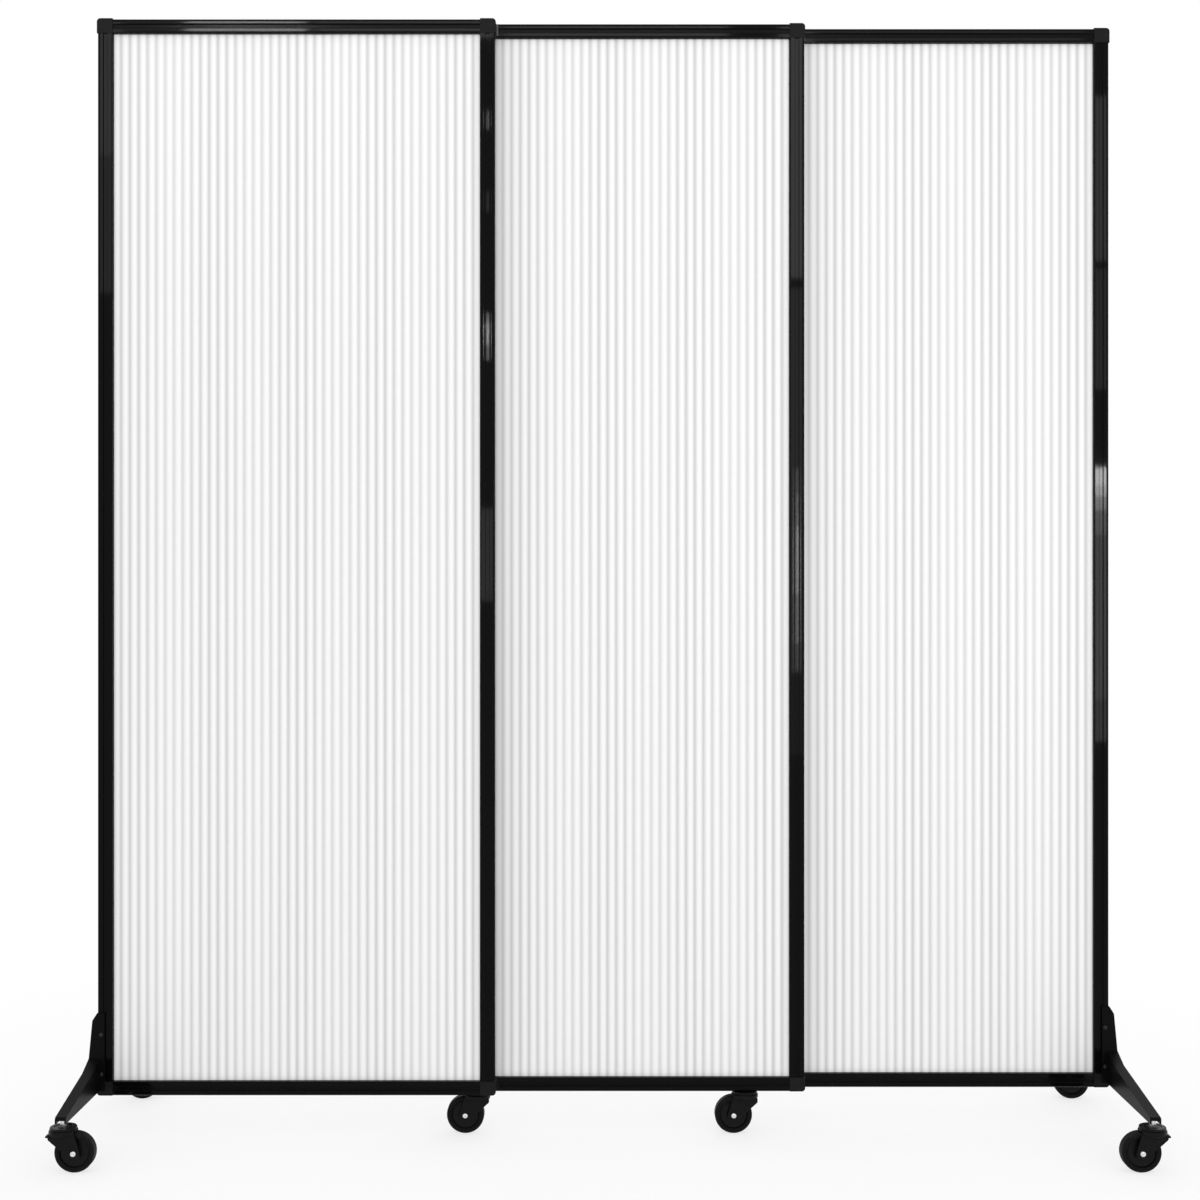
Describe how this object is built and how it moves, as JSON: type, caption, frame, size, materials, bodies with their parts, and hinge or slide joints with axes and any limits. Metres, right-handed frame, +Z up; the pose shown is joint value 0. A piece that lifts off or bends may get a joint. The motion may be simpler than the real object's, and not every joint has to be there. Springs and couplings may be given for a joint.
{
  "type": "rolling privacy screen",
  "caption": "Free-standing screen of sliding framed panels with opal fluted sheets, on end feet and swivel casters with brakes.",
  "frame": {"origin": "on the floor, under the middle of the middle panel, with the screen fully extended", "axes": "+X along the screen to the viewer's right, -Y to the front, +Z up"},
  "size_m": [2.109, 0.514, 2.235],
  "materials": {
    "frame_black": "gloss",
    "corner_plastic": "satin",
    "sheet_opal": "satin",
    "leg_black": "satin",
    "fork_black": "satin",
    "wheel_black": "satin",
    "zinc_steel": "satin",
    "pedal_black": "satin"
  },
  "bodies": {
    "left_panel": {"left_left_stile": "frame_black", "left_right_stile": "frame_black", "left_bottom_rail": "frame_black", "left_top_rail": "frame_black", "left_sheet": "sheet_opal", "left_top_left_corner": "corner_plastic", "left_top_right_corner": "corner_plastic", "left_bottom_left_corner": "corner_plastic", "left_bottom_right_corner": "corner_plastic", "left_front_leg": "leg_black", "left_front_caster_stem": "zinc_steel", "left_rear_leg": "leg_black", "left_rear_caster_stem": "zinc_steel"},
    "middle_panel": {"middle_left_stile": "frame_black", "middle_right_stile": "frame_black", "middle_bottom_rail": "frame_black", "middle_top_rail": "frame_black", "middle_sheet": "sheet_opal", "middle_top_left_corner": "corner_plastic", "middle_top_right_corner": "corner_plastic", "middle_bottom_left_corner": "corner_plastic", "middle_bottom_right_corner": "corner_plastic", "middle_left_caster_stem": "zinc_steel", "middle_right_caster_stem": "zinc_steel"},
    "right_panel": {"right_left_stile": "frame_black", "right_right_stile": "frame_black", "right_bottom_rail": "frame_black", "right_top_rail": "frame_black", "right_sheet": "sheet_opal", "right_top_left_corner": "corner_plastic", "right_top_right_corner": "corner_plastic", "right_bottom_left_corner": "corner_plastic", "right_bottom_right_corner": "corner_plastic", "right_front_leg": "leg_black", "right_front_caster_stem": "zinc_steel", "right_rear_leg": "leg_black", "right_rear_caster_stem": "zinc_steel"},
    "left_front_swivel": {"left_front_caster_fork": "fork_black", "left_front_caster_axle": "zinc_steel"},
    "left_front_wheel": {"left_front_caster_wheel": "wheel_black"},
    "left_rear_swivel": {"left_rear_caster_fork": "fork_black", "left_rear_caster_axle": "zinc_steel"},
    "left_rear_wheel": {"left_rear_caster_wheel": "wheel_black"},
    "right_front_swivel": {"right_front_caster_fork": "fork_black", "right_front_caster_axle": "zinc_steel"},
    "right_front_wheel": {"right_front_caster_wheel": "wheel_black"},
    "right_rear_swivel": {"right_rear_caster_fork": "fork_black", "right_rear_caster_axle": "zinc_steel"},
    "right_rear_wheel": {"right_rear_caster_wheel": "wheel_black"},
    "middle_left_swivel": {"middle_left_caster_fork": "fork_black", "middle_left_caster_axle": "zinc_steel"},
    "middle_left_wheel": {"middle_left_caster_wheel": "wheel_black"},
    "middle_right_swivel": {"middle_right_caster_fork": "fork_black", "middle_right_caster_axle": "zinc_steel"},
    "middle_right_wheel": {"middle_right_caster_wheel": "wheel_black"},
    "left_front_pedal": {"left_front_brake_pedal": "pedal_black"},
    "left_rear_pedal": {"left_rear_brake_pedal": "pedal_black"},
    "right_front_pedal": {"right_front_brake_pedal": "pedal_black"},
    "right_rear_pedal": {"right_rear_brake_pedal": "pedal_black"}
  },
  "joints": [
    {"name": "left_slide", "type": "slide", "parent": "middle_panel", "child": "left_panel", "axis": [1, 0, 0], "range_m": [0, 0.59]},
    {"name": "right_slide", "type": "slide", "parent": "middle_panel", "child": "right_panel", "axis": [-1, 0, 0], "range_m": [0, 0.59]},
    {"name": "left_front_swivel", "type": "hinge", "parent": "left_panel", "child": "left_front_swivel", "pos_m": [-1.024, -0.23, 0.08], "axis": [0, 0, 1], "continuous": true},
    {"name": "left_front_roll", "type": "hinge", "parent": "left_front_swivel", "child": "left_front_wheel", "pos_m": [-1.001, -0.23, 0.0375], "axis": [0, 1, 0], "continuous": true},
    {"name": "left_front_brake", "type": "hinge", "parent": "left_front_swivel", "child": "left_front_pedal", "pos_m": [-1.038, -0.23, 0.065], "axis": [0, -1, 0], "range_deg": [0, 12]},
    {"name": "left_rear_swivel", "type": "hinge", "parent": "left_panel", "child": "left_rear_swivel", "pos_m": [-1.024, 0.23, 0.08], "axis": [0, 0, 1], "continuous": true},
    {"name": "left_rear_roll", "type": "hinge", "parent": "left_rear_swivel", "child": "left_rear_wheel", "pos_m": [-1.001, 0.23, 0.0375], "axis": [0, 1, 0], "continuous": true},
    {"name": "left_rear_brake", "type": "hinge", "parent": "left_rear_swivel", "child": "left_rear_pedal", "pos_m": [-1.038, 0.23, 0.065], "axis": [0, -1, 0], "range_deg": [0, 12]},
    {"name": "right_front_swivel", "type": "hinge", "parent": "right_panel", "child": "right_front_swivel", "pos_m": [1.024, -0.23, 0.08], "axis": [0, 0, 1], "continuous": true},
    {"name": "right_front_roll", "type": "hinge", "parent": "right_front_swivel", "child": "right_front_wheel", "pos_m": [1.001, -0.23, 0.0375], "axis": [0, 1, 0], "continuous": true},
    {"name": "right_front_brake", "type": "hinge", "parent": "right_front_swivel", "child": "right_front_pedal", "pos_m": [1.038, -0.23, 0.065], "axis": [0, 1, 0], "range_deg": [0, 12]},
    {"name": "right_rear_swivel", "type": "hinge", "parent": "right_panel", "child": "right_rear_swivel", "pos_m": [1.024, 0.23, 0.08], "axis": [0, 0, 1], "continuous": true},
    {"name": "right_rear_roll", "type": "hinge", "parent": "right_rear_swivel", "child": "right_rear_wheel", "pos_m": [1.001, 0.23, 0.0375], "axis": [0, 1, 0], "continuous": true},
    {"name": "right_rear_brake", "type": "hinge", "parent": "right_rear_swivel", "child": "right_rear_pedal", "pos_m": [1.038, 0.23, 0.065], "axis": [0, 1, 0], "range_deg": [0, 12]},
    {"name": "middle_left_swivel", "type": "hinge", "parent": "middle_panel", "child": "middle_left_swivel", "pos_m": [-0.263, 0, 0.08], "axis": [0, 0, 1], "continuous": true},
    {"name": "middle_left_roll", "type": "hinge", "parent": "middle_left_swivel", "child": "middle_left_wheel", "pos_m": [-0.286, 0, 0.0375], "axis": [0, 1, 0], "continuous": true},
    {"name": "middle_right_swivel", "type": "hinge", "parent": "middle_panel", "child": "middle_right_swivel", "pos_m": [0.277, 0, 0.08], "axis": [0, 0, 1], "continuous": true},
    {"name": "middle_right_roll", "type": "hinge", "parent": "middle_right_swivel", "child": "middle_right_wheel", "pos_m": [0.254, 0, 0.0375], "axis": [0, 1, 0], "continuous": true}
  ]
}
